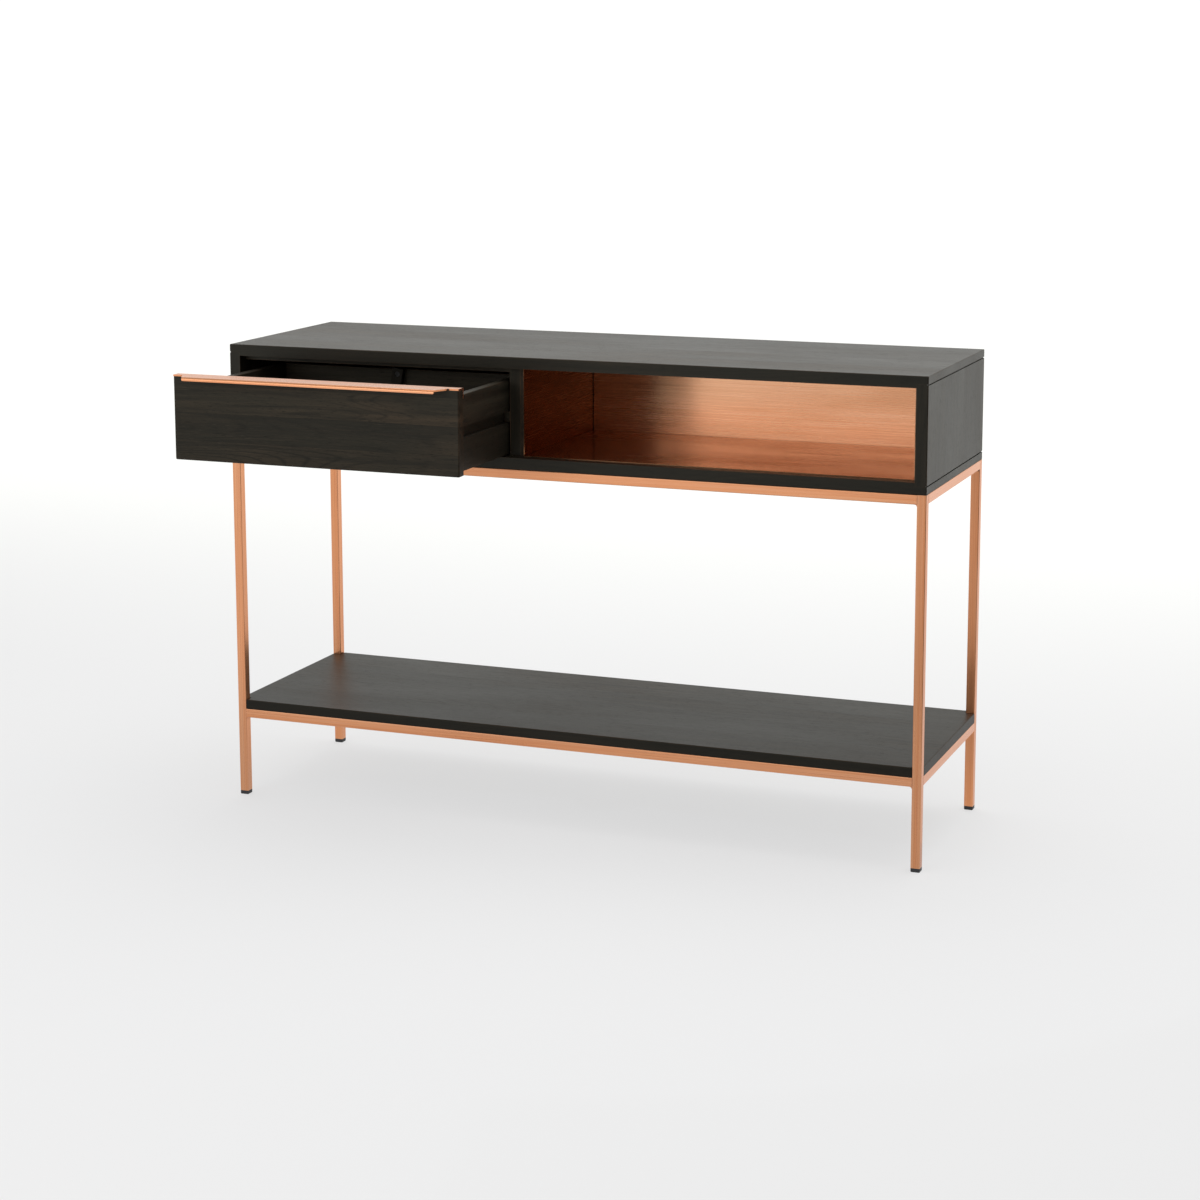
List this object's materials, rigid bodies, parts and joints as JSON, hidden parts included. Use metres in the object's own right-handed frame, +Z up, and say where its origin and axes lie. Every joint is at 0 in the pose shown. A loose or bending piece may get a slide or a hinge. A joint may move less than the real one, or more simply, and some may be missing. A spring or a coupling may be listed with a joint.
{
  "type": "console table",
  "caption": "Long narrow console table: copper tube frame, dark wood case with a sliding drawer beside an open copper-lined bay, and a low shelf.",
  "frame": {"origin": "centre of the case's footprint, on the floor between the four feet", "axes": "+X to the right along the length, +Y to the back, +Z up; the drawer slides out along -Y"},
  "size_m": [1.2, 0.615, 0.78],
  "materials": {
    "frame_copper": "brushed copper plating on welded square steel tube",
    "lining_copper": "brushed copper-plated sheet",
    "handle_copper": "brushed copper-plated folded sheet",
    "board_wood": "near-black stained solid wood with open grain, satin",
    "panel_wood": "near-black stained solid wood with upright grain, satin",
    "front_wood": "near-black stained solid wood of glued staves, satin",
    "drawer_wood": "dark stained solid wood, matt",
    "inner_wood": "dark stained solid wood, matt",
    "backing_board": "dark stained thin board",
    "dowel_beech": "plain beech dowel",
    "screw_zinc": "zinc-plated screw",
    "screw_black": "blackened steel screw",
    "foot_plastic": "moulded black plastic"
  },
  "bodies": {
    "table": {"back_panel": "inner_wood", "bay_backing_back": "backing_board", "bay_backing_left": "backing_board", "bay_backing_right": "backing_board", "bay_lining_back": "lining_copper", "bay_lining_ceiling": "lining_copper", "bay_lining_floor": "lining_copper", "bay_lining_left": "lining_copper", "bay_lining_right": "lining_copper", "bottom_panel": "board_wood", "case_dowels": "dowel_beech", "divider_panel": "panel_wood", "foot_back_left": "foot_plastic", "foot_back_right": "foot_plastic", "foot_front_left": "foot_plastic", "foot_front_right": "foot_plastic", "frame_screws_lower": "screw_zinc", "frame_screws_upper": "screw_zinc", "leg_back_left": "frame_copper", "leg_back_right": "frame_copper", "leg_front_left": "frame_copper", "leg_front_right": "frame_copper", "lower_rail_back": "frame_copper", "lower_rail_front": "frame_copper", "lower_rail_left": "frame_copper", "lower_rail_right": "frame_copper", "lower_shelf": "board_wood", "runner_left": "inner_wood", "runner_right": "inner_wood", "runner_screws": "screw_zinc", "runner_spacer": "inner_wood", "side_panel_left": "panel_wood", "side_panel_right": "panel_wood", "stop_rail": "inner_wood", "top_panel": "board_wood", "upper_rail_back": "frame_copper", "upper_rail_front": "frame_copper", "upper_rail_left": "frame_copper", "upper_rail_right": "frame_copper", "welds_lower": "frame_copper", "welds_upper": "frame_copper"},
    "drawer": {"drawer_front": "front_wood", "drawer_side_left": "drawer_wood", "drawer_side_right": "drawer_wood", "drawer_back": "drawer_wood", "drawer_bottom": "inner_wood", "drawer_handle": "handle_copper", "drawer_dowels": "dowel_beech", "drawer_back_screws": "screw_zinc", "drawer_bottom_screws": "screw_zinc", "handle_screws": "screw_zinc", "stop_screw": "screw_black"},
    "stop": {"drawer_stop": "inner_wood"}
  },
  "joints": [
    {"name": "drawer_slide", "type": "slide", "parent": "table", "child": "drawer", "axis": [0, -1, 0], "range_m": [-0.22, 0.043]},
    {"name": "stop_turn", "type": "hinge", "parent": "drawer", "child": "stop", "pos_m": [-0.3295, -0.0975, 0.731], "axis": [0, 1, 0], "continuous": true}
  ]
}
